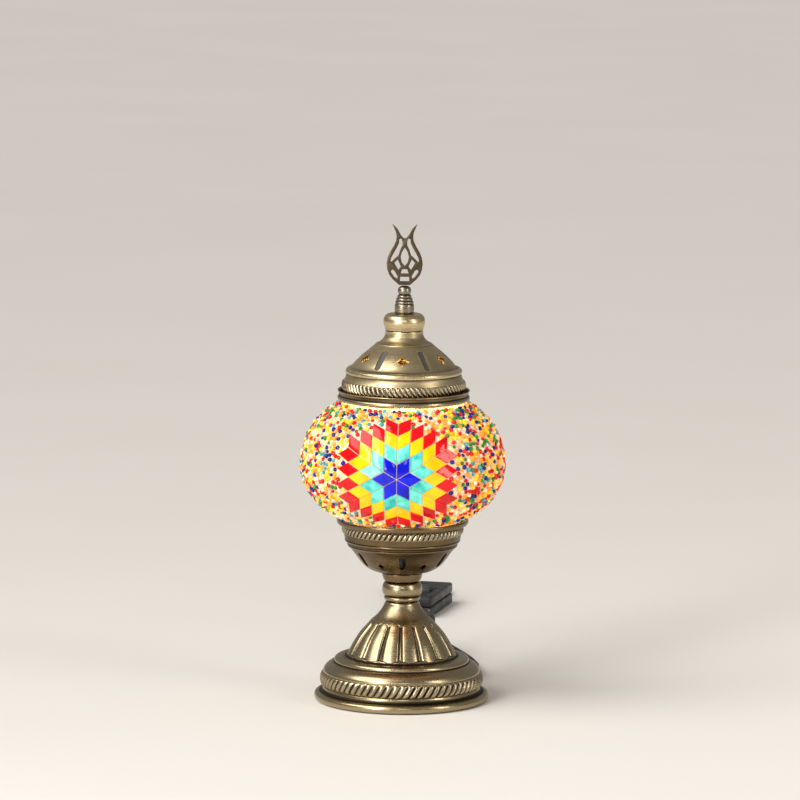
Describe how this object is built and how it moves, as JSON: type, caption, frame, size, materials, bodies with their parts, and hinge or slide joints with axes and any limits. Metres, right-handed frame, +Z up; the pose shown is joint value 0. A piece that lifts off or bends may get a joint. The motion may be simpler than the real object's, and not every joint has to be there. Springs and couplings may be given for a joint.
{
  "type": "mosaic glass table lamp",
  "caption": "Turkish-style mosaic table lamp: tile and bead covered glass globe between pierced antique brass mountings, fluted brass foot, tulip finial and a cord with an inline switch.",
  "frame": {"origin": "centre of the foot's underside, on the surface that the lamp stands on", "axes": "+Z up along the lamp's axis; the front, with the middle of one medallion near it, faces -Y; the flex leaves the foot at the back and runs along +Y"},
  "size_m": [0.125, 0.4493, 0.2912],
  "materials": {
    "antique_brass": "antique brass, brushed round the turning, dark in the recesses",
    "dark_brass": "dark patinated brass",
    "plain_brass": "plain pressed brass",
    "zinc_steel": "zinc-plated steel",
    "cast_iron": "rough cast",
    "felt": "dark felt",
    "fibreboard": "hard fibreboard",
    "cork": "pressed cork",
    "frosted_glass": "blown glass, frosted inside",
    "mosaic": "cut glass tiles and seed beads set in pale grout, glossy",
    "bakelite": "moulded, black",
    "black_pvc": "moulded, satin black",
    "brown_wire": "wire insulation",
    "blue_wire": "wire insulation",
    "bulb_glass": "clear thin glass"
  },
  "bodies": {
    "lamp": {"felt_pad": "felt", "base_board": "fibreboard", "base_weight": "cast_iron", "base_shell": "antique_brass", "base_washer": "zinc_steel", "base_nut": "zinc_steel", "cord_clamp": "bakelite", "clamp_screw_1": "zinc_steel", "clamp_screw_2": "zinc_steel", "strain_relief": "black_pvc", "lamp_tube": "zinc_steel", "neck_collar": "dark_brass", "lower_cup": "dark_brass", "cup_spacer": "zinc_steel", "lower_gallery": "antique_brass", "lower_seal": "cork", "holder_nut": "zinc_steel", "globe_glass": "frosted_glass", "mosaic_layer": "mosaic", "upper_seal": "cork", "upper_gallery": "antique_brass", "lampholder": "bakelite", "screw_shell": "plain_brass", "centre_contact": "plain_brass", "live_wire": "brown_wire", "neutral_wire": "blue_wire", "flex_to_switch": "black_pvc", "switch_lower_case": "black_pvc", "switch_upper_case": "black_pvc", "switch_screw_1": "zinc_steel", "switch_screw_2": "zinc_steel", "switch_contact_1": "plain_brass", "switch_contact_2": "plain_brass", "flex_to_hank": "black_pvc", "flex_hank": "black_pvc", "hank_tie": "black_pvc", "flex_tail": "black_pvc", "plug_body": "black_pvc", "plug_blade_left": "plain_brass", "plug_blade_right": "plain_brass"},
    "cap": {"cap_shell": "antique_brass", "cap_skirt": "zinc_steel", "cap_knob": "antique_brass", "cap_nut": "zinc_steel", "finial_stud": "zinc_steel"},
    "finial": {"finial_base": "antique_brass", "tulip_plate": "dark_brass"},
    "bulb": {"bulb_glass": "bulb_glass", "bulb_cap": "plain_brass", "bulb_contact": "plain_brass", "bulb_insulator": "bakelite", "bulb_stem": "bulb_glass", "bulb_filament": "zinc_steel"},
    "rocker": {"rocker": "black_pvc"}
  },
  "joints": [
    {"name": "cap_lift", "type": "slide", "parent": "lamp", "child": "cap", "axis": [0, 0, 1], "range_m": [0, 0.06]},
    {"name": "finial_turn", "type": "hinge", "parent": "cap", "child": "finial", "pos_m": [0, 0, 0.2373], "axis": [0, 0, 1], "continuous": true},
    {"name": "bulb_turn", "type": "hinge", "parent": "lamp", "child": "bulb", "pos_m": [0, 0, 0.1194], "axis": [0, 0, 1], "continuous": true},
    {"name": "rocker_tilt", "type": "hinge", "parent": "lamp", "child": "rocker", "pos_m": [0.0153, 0.3073, 0.013], "axis": [-0.9703, 0.2419, 0], "range_deg": [-14, 0]}
  ]
}
